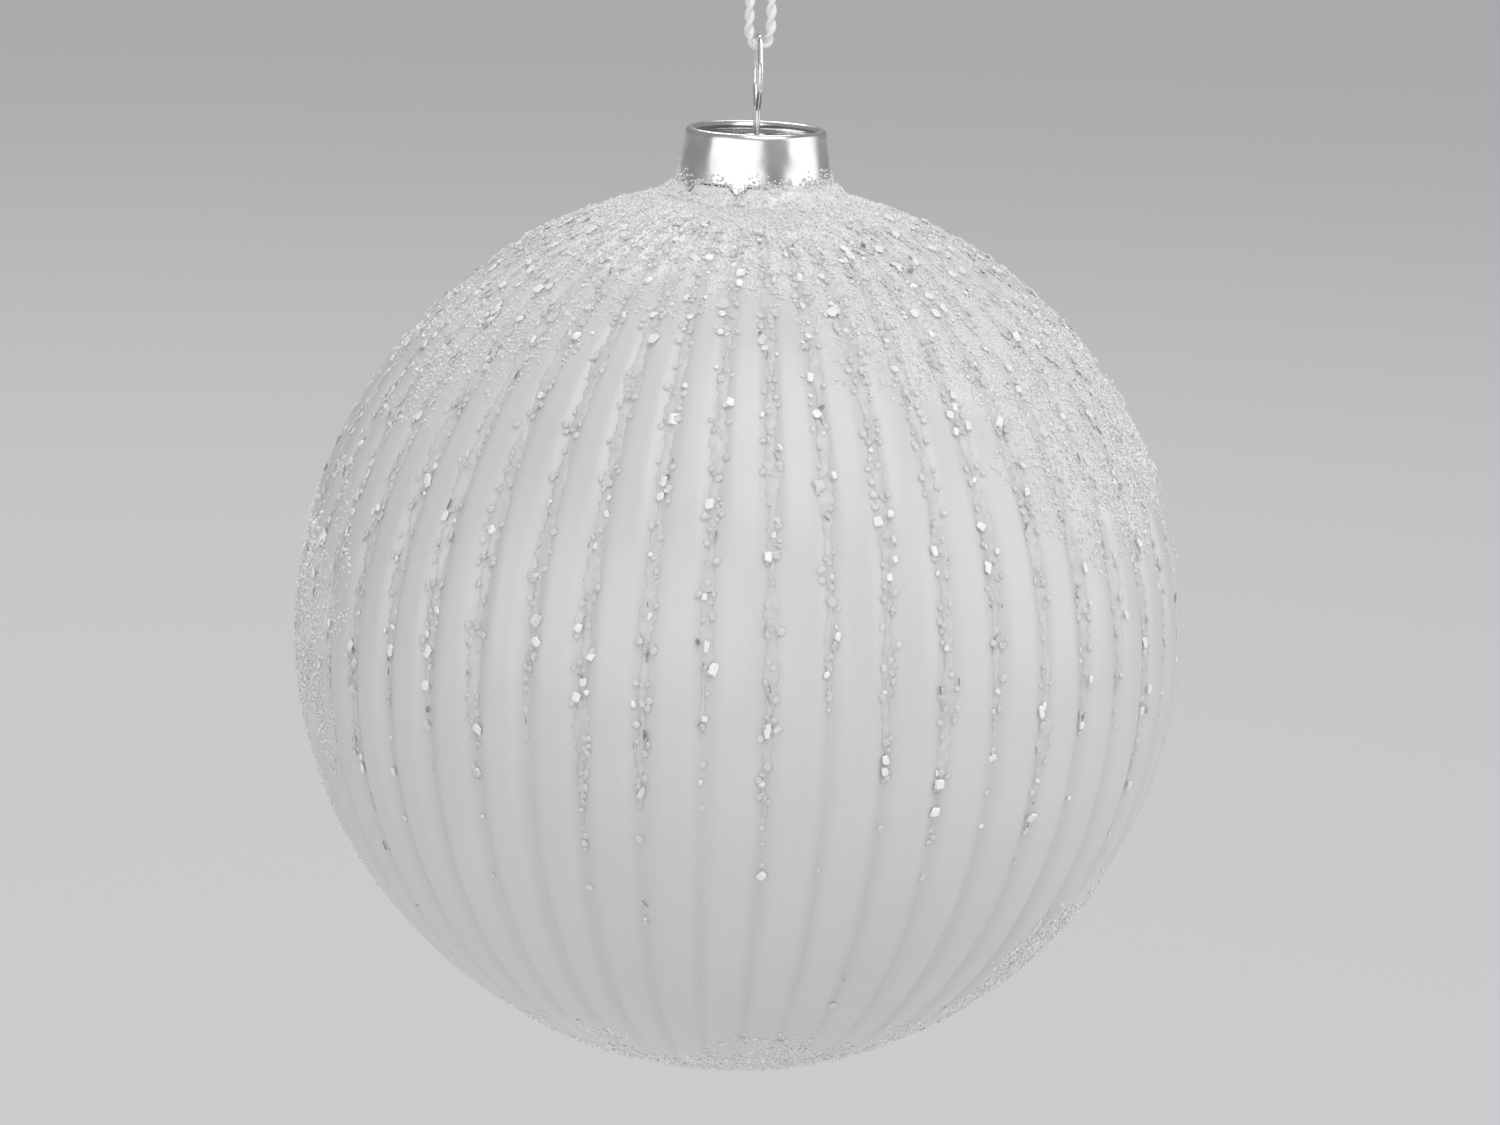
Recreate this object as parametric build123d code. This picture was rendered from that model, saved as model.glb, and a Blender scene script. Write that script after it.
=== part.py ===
"""Ribbed glass ball ornament with lines of ice in its grooves, a crown cap, a sprung wire hanger and a cord loop.

Millimetres, +Z up. The origin is the centre of the hook that the cord loop hangs on, just under the knot.
Each piece is written as one STEP file in parts/, named after its node.
"""

from build123d import *
import math
import os

# Driving dimensions
BALL_RADIUS = 50.0  # to the crest of the ribs
RIB_COUNT = 48
RIB_TUBE_RADIUS = 6.0  # how round each rib is across
GLASS_INNER_RADIUS = 48.6
CORD_DIAMETER = 1.2
CORD_DROP = 48.0  # from the hook's centre to the middle of the cord under the hanger's apex
HOOK_RADIUS = 1.25  # the hook or twig that carries the cord loop, not part of the object
WIRE_DIAMETER = 0.65
PLAY = 0.1  # between the cord and the hanger that hangs on it

# Heights above the ball's centre
APEX_HEIGHT = 66.4  # middle of the hanger wire at its top
CAP_TOP = 56.4
CAP_POINT_HEIGHT = 49.6  # lowest reach of the cap's points
CAP_EDGE_HEIGHT = 50.8  # the cap's edge between its points
NECK_TOP = 55.25

# Glass
RIB_PITCH = 360.0 / RIB_COUNT
NECK_RING_RADIUS = 9.0  # ribs stop here, at the neck
BASE_DISC_RADIUS = 6.0  # ribs stop here, at the bottom
SMOOTH_RADIUS = BALL_RADIUS - 0.02  # the plain glass at both poles
NECK_OUTER_RADIUS = 7.0
NECK_INNER_RADIUS = 6.0
NECK_ROOT_FILLET = 0.7
NECK_RIM_FILLET = 0.35

# Ice in the grooves and frost at the poles
ICE_TUBE_RADIUS = 0.85
ICE_PROUD = 0.1  # how far the ice stands above the ribs' crests
ICE_TOP_LATITUDE = 60.5
ICE_END_LATITUDE = -7.0  # middle of the uneven lower ends
ICE_END_SWING = (8.0, 3.5)  # two waves make the lower ends uneven, in degrees of latitude
ICE_END_STEP = (2.4, 5.3)  # radians that each wave moves on from groove to groove
FROST_GAP = 0.05
FROST_THICKNESS = 0.4
CROWN_FROST_INNER_RADIUS = 9.5
CROWN_FROST_LATITUDE = 62.5
BASE_FROST_LATITUDE = -64.0
SIDE_FROST_GAP = ICE_PROUD + 0.05
SIDE_FROST_HALF_ANGLE = 13.0
SIDE_FROST_RIGHT = (-24.0, 33.0)  # azimuth from +X about +Z, and latitude
SIDE_FROST_LEFT = (-168.0, 4.0)

# Cap
SHEET = 0.35
POINT_COUNT = 8
POINT_HALF_WIDTH = 1.15
FIRST_POINT_ANGLE = -102.0  # about +Z from +X, so that one point faces nearly forwards
LEG_SPACING = 1.6
LEG_HOLE_RADIUS = 0.42
WIRE_TURN = 6.0  # how far the hanger's loop is turned from straight fore and aft

BALL_Z = -CORD_DROP + CORD_DIAMETER / 2 + WIRE_DIAMETER / 2 + PLAY - APEX_HEIGHT
BIGHT_TOP = -CORD_DROP + 8.0  # where the twisting strands end and the bight begins
STRAND_HALF_SPACING = 1.2
HOOK_HALF_SPACING = HOOK_RADIUS + CORD_DIAMETER / 2
KNOT_BOTTOM = 2.6
KNOT_HEIGHT = 4.2
TAIL_LENGTH = 6.5


def at_ball(shape):
    """Moves a shape from a frame at the ball's centre to the ornament's frame, which starts at the hook."""
    return Pos(0, 0, BALL_Z) * shape


def around_axis(shape, angle):
    return Rot(0, 0, angle) * shape


def meridian_torus(major, minor):
    """A ring that stands upright in the XZ plane."""
    return Rot(90, 0, 0) * Torus(major, minor)


def wedge(width):
    """The slice about +X between two upright planes through the axis."""
    reach = BALL_RADIUS + 20.0
    half = math.radians(width / 2)
    x, y = reach * math.cos(half), reach * math.sin(half)
    outline = make_face(Polyline((0, 0), (x, -y), (x, y), (0, 0)))
    return Pos(0, 0, -reach) * extrude(outline, 2 * reach)


def pole_column(radius, up):
    """A column on the axis through the top pole, or through the bottom one."""
    height = BALL_RADIUS + 20.0
    return Pos(0, 0, up * height / 2) * Cylinder(radius, height)


def upright(inner, outer, low, high):
    """A rectangle in the plane of the axis, between two radii and two heights."""
    return Pos((inner + outer) / 2, (low + high) / 2) * Rectangle(outer - inner, high - low)


def rib_ring():
    return meridian_torus(BALL_RADIUS - RIB_TUBE_RADIUS, RIB_TUBE_RADIUS)


def glass_sector():
    """One rib's share of the shell, from the neck to the base disc."""
    sector = rib_ring() & wedge(RIB_PITCH)
    sector -= Sphere(GLASS_INNER_RADIUS)
    sector -= pole_column(NECK_RING_RADIUS, 1)
    sector -= pole_column(BASE_DISC_RADIUS, -1)
    return sector


def neck_ring():
    """The plain glass round the neck, and the neck itself."""
    root = GLASS_INNER_RADIUS - 1.0
    band = (Circle(SMOOTH_RADIUS) - Circle(GLASS_INNER_RADIUS)) & upright(0, NECK_RING_RADIUS, 0, NECK_TOP)
    band += upright(NECK_INNER_RADIUS, NECK_OUTER_RADIUS, root, NECK_TOP)
    band -= upright(0, NECK_INNER_RADIUS, 0, NECK_TOP + 1.0)
    at_root = band.vertices().filter_by(lambda v: abs(v.X - NECK_OUTER_RADIUS) < 0.01 and root + 1.2 < v.Y < NECK_TOP - 1.0)
    band = fillet(at_root, NECK_ROOT_FILLET)
    rim = band.vertices().filter_by(lambda v: abs(v.Y - NECK_TOP) < 0.01)
    band = fillet(rim, NECK_RIM_FILLET)
    return revolve(Plane.XZ * band, Axis.Z)


def glass_ball():
    """Blown glass: ribs from pole to pole, and an open neck under the cap."""
    sector = glass_sector()
    base = (Sphere(SMOOTH_RADIUS) - Sphere(GLASS_INNER_RADIUS)) & pole_column(BASE_DISC_RADIUS, -1)
    sectors = [around_axis(sector, RIB_PITCH * i) for i in range(RIB_COUNT)]
    return at_ball(Part() + [*sectors, neck_ring(), base])


def ice_end(index):
    """The latitude where one line of ice runs out, uneven like a row of icicles."""
    waves = zip(ICE_END_SWING, ICE_END_STEP)
    return ICE_END_LATITUDE + sum(swing * math.sin(step * index) for swing, step in waves)


def groove_ring():
    """Resin that fills one groove to just over the ribs' crests, all the way round the ball."""
    ring = meridian_torus(BALL_RADIUS + ICE_PROUD - ICE_TUBE_RADIUS, ICE_TUBE_RADIUS)
    for side in (-0.5, 0.5):
        ring -= around_axis(rib_ring(), side * RIB_PITCH)
    return ring - Sphere(GLASS_INNER_RADIUS)


def latitude_band(low, high):
    """The prism about +X between two latitudes."""
    reach = 1.5 * BALL_RADIUS
    corners = [(reach * math.cos(math.radians(a)), reach * math.sin(math.radians(a))) for a in (low, high)]
    return extrude(Plane.XZ * Polygon((0, 0), *corners, align=None), ICE_TUBE_RADIUS * 2, both=True)


def ice_line(ring, index):
    """Clear resin set with ice chips along one groove."""
    line = ring & latitude_band(ice_end(index), ICE_TOP_LATITUDE)
    return at_ball(around_axis(line, RIB_PITCH * (index + 0.5)))


def frost_coat(inner, outer, keep):
    """A coat of fine ice grains that lies just over the ribs, in the space that keep holds."""
    return at_ball((Sphere(outer) - Sphere(inner)) & keep)


def frost_cone(latitude, up):
    """Everything poleward of a latitude, as a cone about the axis."""
    height = BALL_RADIUS + 10.0
    radius = height / math.tan(math.radians(abs(latitude)))
    bottom, top = (0.001, radius) if up > 0 else (radius, 0.001)
    return Pos(0, 0, up * height / 2) * Cone(bottom, top, height)


def crown_frost():
    keep = frost_cone(CROWN_FROST_LATITUDE, 1) - pole_column(CROWN_FROST_INNER_RADIUS, 1)
    inner = BALL_RADIUS + FROST_GAP
    return frost_coat(inner, inner + FROST_THICKNESS, keep)


def base_frost():
    inner = BALL_RADIUS + FROST_GAP
    return frost_coat(inner, inner + FROST_THICKNESS, frost_cone(BASE_FROST_LATITUDE, -1))


def side_frost(azimuth, latitude):
    """A round patch of frost on the side of the ball, centred on one direction from the ball's centre."""
    reach = BALL_RADIUS + 10.0
    spread = reach * math.tan(math.radians(SIDE_FROST_HALF_ANGLE))
    beam = Rot(0, 90, 0) * Pos(0, 0, reach / 2) * Cone(0.001, spread, reach)
    keep = Rot(0, 0, azimuth) * Rot(0, -latitude, 0) * beam
    inner = BALL_RADIUS + SIDE_FROST_GAP
    return frost_coat(inner, inner + FROST_THICKNESS, keep)


def cap_shell():
    """Plated sheet: a raised boss with two leg holes, a recessed top, a beaded rim and a flared skirt with points."""
    recess = CAP_TOP - 0.8
    rim = CAP_TOP - SHEET / 2
    outline = [
        (0, rim - 0.2),
        (1.7, rim - 0.2),
        (2.4, recess),
        (6.5, recess),
        (7.0, rim),
        (7.55, rim),
        (7.85, rim - 0.9),
        (8.25, CAP_EDGE_HEIGHT + 0.3),
        (8.55, CAP_POINT_HEIGHT),
    ]
    bends = [0.4, 0.3, 0.25, 0.22, 0.22, 0.3, 1.2]
    sheet = trace(FilletPolyline(*outline, radius=bends), SHEET)
    shell = revolve(Plane.XZ * sheet, Axis.Z)
    leg_hole = Pos(0, LEG_SPACING / 2, CAP_TOP) * Cylinder(LEG_HOLE_RADIUS, 6)
    leg_holes = [around_axis(leg_hole, WIRE_TURN + half_turn) for half_turn in (0, 180)]
    return at_ball(shell - leg_holes - cap_notches())


def cap_notches():
    """What is cut from the skirt's edge to leave its points."""
    pitch = 360.0 / POINT_COUNT
    half_gap = math.radians(pitch / 2) * 8.6
    slope = POINT_HALF_WIDTH / (CAP_EDGE_HEIGHT - CAP_POINT_HEIGHT)
    low = CAP_POINT_HEIGHT - 1.0
    top_half = half_gap - POINT_HALF_WIDTH
    low_half = top_half + slope * (CAP_EDGE_HEIGHT - low)
    outline = Polygon(
        (-top_half, CAP_EDGE_HEIGHT), (top_half, CAP_EDGE_HEIGHT), (low_half, low), (-low_half, low), align=None
    )
    notch = extrude(Plane(origin=(4, 0, 0), x_dir=(0, 1, 0), z_dir=(1, 0, 0)) * outline, 8)
    return Part() + [around_axis(notch, FIRST_POINT_ANGLE + pitch * (i + 0.5)) for i in range(POINT_COUNT)]


def tube(points, radii, diameter):
    """A round wire or cord along straight runs joined by arcs. Returns the solid and its path."""
    path = FilletPolyline(*points, radius=radii)
    section = Plane(origin=path @ 0, z_dir=path % 0) * Circle(diameter / 2)
    return sweep(section, path=path), path


def hanger_wire():
    """One bent wire: a pointed loop over the cap, and two sprung legs that spread inside the neck."""
    leg = LEG_SPACING / 2
    reach = NECK_INNER_RADIUS - WIRE_DIAMETER / 2 - 0.3
    right = [
        (1.15, APEX_HEIGHT),
        (2.45, 63.2),
        (2.45, 60.9),
        (leg, 58.6),
        (leg, 55.2),
        (2.6, 54.6),
        (reach, 50.5),
        (reach, 44.8),
        (reach - 1.3, 43.2),
    ]
    right_radii = [1.0, 3.0, 2.0, 0.9, 0.45, 0.8, 2.5, 1.0]
    left = [(-y, z) for y, z in reversed(right)]
    points = [(0, y, z) for y, z in left + right]
    body, _ = tube(points, right_radii[::-1] + right_radii, WIRE_DIAMETER)
    return at_ball(around_axis(body, WIRE_TURN))


def arc_radius(before, corner, after):
    """The largest arc that a corner's two runs allow."""
    a, b = Vector(*corner) - Vector(*before), Vector(*after) - Vector(*corner)
    turn = math.radians(a.get_angle(b))
    return 0.45 * min(a.length, b.length) / math.tan(turn / 2)


def cord_bight():
    """The bottom of the cord loop, where the hanger hangs on it."""
    s, low = STRAND_HALF_SPACING, -CORD_DROP
    points = [(-s, 0, BIGHT_TOP), (-s, 0, low + 1.0), (-0.6, 0, low), (0.6, 0, low), (s, 0, low + 1.0), (s, 0, BIGHT_TOP)]
    radii = [arc_radius(*points[i - 1 : i + 2]) for i in range(1, len(points) - 1)]
    body, path = tube(points, radii, CORD_DIAMETER)
    report("cord_bight", body, path, radii)
    return body


def cord_strand(side):
    """One of the two strands from the bight up past the hook, into the knot."""
    s = side * STRAND_HALF_SPACING
    hook = side * HOOK_HALF_SPACING
    points = [
        (s, 0, BIGHT_TOP),
        (s, 0, BIGHT_TOP + 12.0),
        (hook, 0, -0.4),
        (hook * 0.86, 0, 1.3),
        (side * (CORD_DIAMETER / 2 + 0.02), 0, KNOT_BOTTOM),
    ]
    radii = [arc_radius(*points[i - 1 : i + 2]) for i in range(1, len(points) - 1)]
    body, path = tube(points, radii, CORD_DIAMETER)
    report("cord_strand", body, path, radii)
    return body


def report(name, body, path, radii):
    share = body.volume / (math.pi * CORD_DIAMETER**2 / 4 * path.length)
    print(name, "length", round(path.length, 2), "volume share", round(share, 4), "radii", [round(r, 2) for r in radii])


def cord_knot():
    """The overhand knot that closes the loop, as a plain round body."""
    half = KNOT_HEIGHT / 2
    outline = Plane.XZ * (Ellipse(half * 0.95, half) & Pos(10, 0) * Rectangle(20, 20))
    knot = revolve(outline, Axis.Z)
    flat = Pos(0, 0, -half) * Box(10, 10, 0.5)
    knot -= flat
    knot -= Pos(0, 0, half) * Box(10, 10, 0.5)
    return Pos(0, 0, KNOT_BOTTOM + half - 0.25) * knot


def cord_tails():
    """The two cut ends above the knot."""
    start = KNOT_BOTTOM + KNOT_HEIGHT - 0.5
    tails = []
    for side in (-1, 1):
        x = side * (CORD_DIAMETER / 2 + 0.02)
        points = [(x, 0, start), (x, 0, start + TAIL_LENGTH * 0.45), (x * 2.4, side * 0.5, start + TAIL_LENGTH)]
        body, _ = tube(points, [arc_radius(*points)], CORD_DIAMETER)
        tails.append(body)
    return Compound(tails)


def main():
    os.makedirs("parts", exist_ok=True)
    pieces = {
        "glass_ball": glass_ball(),
        "crown_frost": crown_frost(),
        "base_frost": base_frost(),
        "side_frost_right": side_frost(*SIDE_FROST_RIGHT),
        "side_frost_left": side_frost(*SIDE_FROST_LEFT),
        "cap_shell": cap_shell(),
        "hanger_wire": hanger_wire(),
        "cord_bight": cord_bight(),
        "cord_strand_left": cord_strand(-1),
        "cord_strand_right": cord_strand(1),
        "cord_knot": cord_knot(),
        "cord_tails": cord_tails(),
    }
    ring = groove_ring()
    for i in range(RIB_COUNT):
        pieces[f"ice_line_{i + 1:02d}"] = ice_line(ring, i)
    for name, piece in pieces.items():
        export_step(piece, f"parts/{name}.step")


main()
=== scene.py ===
"""Looks for the ribbed opal glass ball ornament: glass, ice lines, frost, plated cap, wire and cord loop.

Lengths in this script are millimetres from the ball's centre unless a name says metres.
"""

import math

import bpy
import numpy as np
from mathutils import Matrix, Vector, noise


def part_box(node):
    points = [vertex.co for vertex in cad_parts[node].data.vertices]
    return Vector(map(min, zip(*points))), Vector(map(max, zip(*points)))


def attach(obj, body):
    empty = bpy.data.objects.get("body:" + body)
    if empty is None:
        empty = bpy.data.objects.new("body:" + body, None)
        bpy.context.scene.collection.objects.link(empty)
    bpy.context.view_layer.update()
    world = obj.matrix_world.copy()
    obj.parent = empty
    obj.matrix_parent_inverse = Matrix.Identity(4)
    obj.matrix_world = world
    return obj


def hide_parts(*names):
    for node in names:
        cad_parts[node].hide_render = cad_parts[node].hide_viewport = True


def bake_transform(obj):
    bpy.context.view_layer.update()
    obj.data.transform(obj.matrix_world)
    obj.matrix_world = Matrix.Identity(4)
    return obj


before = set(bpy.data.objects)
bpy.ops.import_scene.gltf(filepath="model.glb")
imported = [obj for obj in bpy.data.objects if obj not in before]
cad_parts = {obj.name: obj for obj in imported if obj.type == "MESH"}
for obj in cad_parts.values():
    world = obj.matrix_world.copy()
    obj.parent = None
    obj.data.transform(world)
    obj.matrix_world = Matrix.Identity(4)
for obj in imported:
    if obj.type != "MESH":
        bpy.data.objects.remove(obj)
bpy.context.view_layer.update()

MM = 0.001
SEED = 4107

# The ball, from the frame
BALL_LOW, BALL_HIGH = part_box("glass_ball")
BALL_RADIUS = (BALL_HIGH[0] - BALL_LOW[0]) / 2 / MM
CENTRE = np.array([0.0, 0.0, BALL_LOW[2] + BALL_RADIUS * MM])
NECK_TOP = (BALL_HIGH[2] - CENTRE[2]) / MM
ICE_NODES = sorted(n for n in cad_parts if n.startswith("ice_line_"))
RIB_COUNT = len(ICE_NODES)
PITCH = 2 * math.pi / RIB_COUNT

# Ribs
RIB_DEPTH = 0.7
RIB_SHARPNESS = 2.1  # how much wider the crests are than the grooves
COLUMNS_PER_RIB = 14
GLASS_WALL = 1.4
GLASS_INNER_RADIUS = BALL_RADIUS - GLASS_WALL
GLASS_ROWS = 112
NECK_RADIUS = 7.0
NECK_WALL = 1.0

# Cap, from the frame
CAP_LOW, CAP_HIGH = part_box("cap_shell")
CAP_TOP = (CAP_HIGH[2] - CENTRE[2]) / MM
CAP_POINT = (CAP_LOW[2] - CENTRE[2]) / MM
CAP_EDGE = CAP_POINT + 1.2
CAP_FLARE_RADIUS = CAP_HIGH[0] / MM
CAP_RIM_RADIUS = CAP_FLARE_RADIUS - 0.88
CAP_POINTS = 8
CAP_FIRST_POINT = math.radians(-102.0)
CAP_COLUMNS = 256
CAP_SHEET = 0.32
CAP_SHOULDER = 0.6  # how far below its top the skirt starts to flare
CAP_POINT_HALF_WIDTH = 1.15
CAP_SKIRT_ROWS = 25
CAP_WELL_ROWS = 6
BANK_RADIUS = 11.6  # where the frost heaped against the cap ends
BANK_FOOT_RADIUS = 7.1
BANK_ROWS = 12
BURIED_POINT = math.radians(-58.0)  # the cap point at the front right
LEFT_POINT = math.radians(-138.0)  # just forward of the cap point at the left

# Hanger wire
WIRE_RADIUS = 0.325
WIRE_SIDES = 12
WIRE_STEP = 0.1
WIRE_TURN = math.radians(6.0)

# Cord, in metres
CORD_DIAMETER = 0.0012
CORD_PLIES = 2
CORD_LAY = 0.0034  # one turn of the twist
PLY_RADIUS = 0.285  # as a share of the cord's diameter
PLY_SIDES = 10

# Knot, in millimetres
KNOT_LOBE = 0.52
KNOT_RISE = 0.75
KNOT_SPACING = 0.84  # between its two parallel cords
KNOT_TIGHTNESS = 0.92  # the cord's diameter in the knot, as a share of its own

# Camera
ELEVATION = math.radians(12.0)
DISTANCE = 0.56  # metres
ROLL = math.radians(2.0)
LENS = 118.9
SHIFT_RIGHT = 0.0073
SHIFT_UP = 0.042

# Floor, in metres
FLOOR_HALF_WIDTH = 9.0
FLOOR_DROP = 0.32  # from the ball to the floor


def smoothstep(low, high, x):
    t = np.clip((x - low) / (high - low), 0.0, 1.0)
    return t * t * (3 - 2 * t)


def to_frame(points):
    """Millimetres from the ball's centre to metres in the frame."""
    return np.asarray(points, dtype=float) * MM + CENTRE


# ---------------------------------------------------------------- camera, light and floor


def make_camera():
    data = bpy.data.cameras.new("camera")
    data.lens = LENS
    data.sensor_width = 36.0
    data.shift_x = SHIFT_RIGHT
    data.shift_y = SHIFT_UP
    data.clip_start = 0.01
    data.clip_end = 50.0
    camera = bpy.data.objects.new("camera", data)
    bpy.context.collection.objects.link(camera)
    out = Vector((0.0, -math.cos(ELEVATION), math.sin(ELEVATION)))
    place = Vector(CENTRE) + out * DISTANCE
    turn = (-out).to_track_quat("-Z", "Y").to_matrix().to_4x4()
    camera.matrix_world = Matrix.Translation(place) @ turn @ Matrix.Rotation(ROLL, 4, "Z")
    bpy.context.scene.camera = camera


def area_light(name, place, size, watts):
    """A soft box that faces the ball, at a place in metres from its centre."""
    data = bpy.data.lights.new(name, "AREA")
    data.shape = "RECTANGLE"
    data.size, data.size_y = size
    data.energy = watts
    light = bpy.data.objects.new(name, data)
    bpy.context.collection.objects.link(light)
    light.location = Vector(CENTRE) + Vector(place)
    light.rotation_euler = (-Vector(place)).to_track_quat("-Z", "Y").to_euler()


def make_lights():
    area_light("key_front", (-0.68, -1.10, 0.23), (2.4, 0.74), 6.0)
    area_light("side_right", (1.20, -0.17, 0.38), (1.4, 1.0), 4.7)
    area_light("back", (-0.3, 1.9, 2.2), (1.6, 1.2), 20.0)
    data = bpy.data.lights.new("overhead", "SUN")
    data.energy = 1.22
    data.angle = math.radians(50.0)
    sun = bpy.data.objects.new("overhead", data)
    bpy.context.collection.objects.link(sun)
    sun.rotation_euler = (math.radians(28.0), math.radians(12.0), 0.0)
    world = bpy.data.worlds.new("studio")
    bpy.context.scene.world = world
    world.use_nodes = True
    back = world.node_tree.nodes["Background"]
    back.inputs["Color"].default_value = (0.80, 0.81, 0.82, 1.0)
    back.inputs["Strength"].default_value = 0.33
    bpy.context.scene.view_settings.view_transform = "Standard"


def make_floor():
    mesh = bpy.data.meshes.new("floor")
    z = float(CENTRE[2]) - BALL_RADIUS * MM - FLOOR_DROP
    sides = [(-1, -1), (1, -1), (1, 1), (-1, 1)]
    corners = [(x * FLOOR_HALF_WIDTH, y * FLOOR_HALF_WIDTH, z) for x, y in sides]
    mesh.from_pydata(corners, [], [(0, 1, 2, 3)])
    floor = bpy.data.objects.new("floor", mesh)
    bpy.context.collection.objects.link(floor)
    paint = new_material("floor_paint")
    shader = paint.node_tree.nodes["Principled BSDF"]
    shader.inputs["Base Color"].default_value = (0.67, 0.675, 0.685, 1.0)
    shader.inputs["Roughness"].default_value = 0.85
    mesh.materials.append(paint)


# ---------------------------------------------------------------- materials


def new_material(name):
    material = bpy.data.materials.new(name)
    material.use_nodes = True
    return material


class Nodes:
    """Short calls for wiring one material."""

    def __init__(self, name):
        self.material = new_material(name)
        self.tree = self.material.node_tree
        self.shader = self.tree.nodes["Principled BSDF"]

    def add(self, kind, **settings):
        """A new node, with its sockets or its own properties set by name."""
        node = self.tree.nodes.new(kind)
        for key, value in settings.items():
            socket = node.inputs.get(key.replace("_", " "))
            if socket is None:
                setattr(node, key, value)
            else:
                socket.default_value = value
        return node

    def link(self, out, into):
        self.tree.links.new(out, into)

    def drive(self, **sockets):
        """Feeds the shader's own sockets."""
        for key, out in sockets.items():
            self.link(out, self.shader.inputs[key.replace("_", " ")])

    def set(self, **values):
        for key, value in values.items():
            self.shader.inputs[key.replace("_", " ")].default_value = value

    def object_space(self):
        return self.add("ShaderNodeTexCoord").outputs["Object"]

    def noise(self, scale, detail=3.0, distortion=0.0):
        """Noise whose scale is in features per metre of the object."""
        settings = dict(Scale=scale, Detail=detail, Roughness=0.55, Distortion=distortion)
        node = self.add("ShaderNodeTexNoise", **settings)
        self.link(self.object_space(), node.inputs["Vector"])
        return node.outputs["Fac"]

    def ramp(self, fac, *stops):
        """A blend between two colours, each at its own value of fac."""
        node = self.add("ShaderNodeValToRGB")
        for element, (place, colour) in zip(node.color_ramp.elements, stops):
            element.position = place
            element.color = (*colour, 1.0)
        self.link(fac, node.inputs["Fac"])
        return node.outputs["Color"]

    def spread(self, fac, low, high):
        """Noise stretched to run from low to high."""
        node = self.add("ShaderNodeMapRange", From_Min=0.3, From_Max=0.7, To_Min=low, To_Max=high)
        self.link(fac, node.inputs["Value"])
        return node.outputs["Result"]

    def mix(self, fac, a, b):
        """A blend of two colours, where each is a socket or plain numbers."""
        node = self.add("ShaderNodeMix", data_type="RGBA")
        self.link(fac, node.inputs["Factor"])
        sockets = [socket for socket in node.inputs if socket.type == "RGBA"]
        for value, socket in zip((a, b), sockets):
            if hasattr(value, "is_linked"):
                self.link(value, socket)
            else:
                socket.default_value = (*value, 1.0)
        return next(socket for socket in node.outputs if socket.type == "RGBA")

    def attribute(self, name):
        return self.add("ShaderNodeAttribute", attribute_name=name).outputs["Fac"]

    def bump(self, height, strength, distance, below=None):
        node = self.add("ShaderNodeBump", Strength=strength, Distance=distance)
        self.link(height, node.inputs["Height"])
        if below is not None:
            self.link(below, node.inputs["Normal"])
        return node.outputs["Normal"]


def opal_glass():
    """Satin pearl glass, warm on the ribs, with painted shade in each groove as a darker, cooler grey;
    frosted where the grains thin out.
    """
    n = Nodes("opal_glass")
    n.set(IOR=1.5, Coat_Weight=0.35, Coat_Roughness=0.22, Sheen_Weight=0.08, Sheen_Roughness=0.4)
    n.set(Subsurface_Weight=0.12, Subsurface_Scale=0.002, Subsurface_Radius=(1.0, 1.0, 1.0))
    clouds = n.ramp(n.noise(45.0, 2.0), (0.3, (0.70, 0.705, 0.685)), (0.7, (0.745, 0.745, 0.725)))
    # painted shade: the groove attribute blends the glass towards a darker, cooler grey in each groove
    groove_shade = n.mix(n.attribute("groove"), clouds, (0.69, 0.70, 0.69))
    speckle = n.ramp(n.noise(3600.0, 2.0), (0.36, (0.72, 0.72, 0.72)), (0.60, (0.90, 0.90, 0.90)))
    colour = n.mix(n.attribute("frost"), groove_shade, speckle)
    n.drive(Base_Color=colour, Roughness=n.spread(n.noise(160.0), 0.30, 0.46))
    ripple = n.bump(n.noise(110.0, 2.0), 0.10, 0.0006)
    frost_height = n.add("ShaderNodeMath", operation="MULTIPLY")
    n.link(n.noise(2300.0, 2.0), frost_height.inputs[0])
    n.link(n.attribute("frost"), frost_height.inputs[1])
    n.drive(Normal=n.bump(frost_height.outputs[0], 0.5, 0.0003, ripple))
    return n.material


def clear_resin():
    n = Nodes("clear_resin")
    n.set(IOR=1.45, Coat_Weight=0.4, Coat_Roughness=0.12, Alpha=0.5)
    n.drive(Base_Color=n.ramp(n.noise(900.0, 3.0), (0.35, (0.86, 0.865, 0.86)), (0.62, (0.96, 0.96, 0.955))))
    n.drive(Roughness=n.spread(n.noise(700.0), 0.08, 0.25))
    n.drive(Normal=n.bump(n.noise(1100.0, 2.0), 0.25, 0.0003))
    return n.material


def chip(name, dark, light, alpha, rough):
    """Cut ice chips of one kind."""
    n = Nodes(name)
    n.set(IOR=1.45, Coat_Weight=0.3, Coat_Roughness=0.06, Alpha=alpha)
    n.drive(Base_Color=n.ramp(n.noise(1400.0, 2.0), (0.35, dark), (0.65, light)))
    n.drive(Roughness=n.spread(n.noise(900.0), rough, rough + 0.12))
    return n.material


def sugar_grains(name, dark, light):
    n = Nodes(name)
    n.set(IOR=1.5, Coat_Weight=0.25, Coat_Roughness=0.12, Subsurface_Weight=0.4, Subsurface_Scale=0.0006)
    n.set(Subsurface_Radius=(1.0, 1.0, 1.0))
    n.drive(Base_Color=n.ramp(n.noise(2400.0, 1.0), (0.32, dark), (0.62, light)))
    n.drive(Roughness=n.spread(n.noise(1500.0), 0.2, 0.5))
    return n.material


def plated_metal(name, dark, light, smoothest, roughest):
    """Plating with a faint haze and the shallow ripple of pressed sheet."""
    n = Nodes(name)
    n.set(Metallic=1.0)
    n.drive(Base_Color=n.ramp(n.noise(300.0, 3.0), (0.3, dark), (0.7, light)))
    n.drive(Roughness=n.spread(n.noise(260.0), smoothest, roughest))
    n.drive(Normal=n.bump(n.noise(240.0, 1.0), 0.26, 0.0008))
    return n.material


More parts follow.
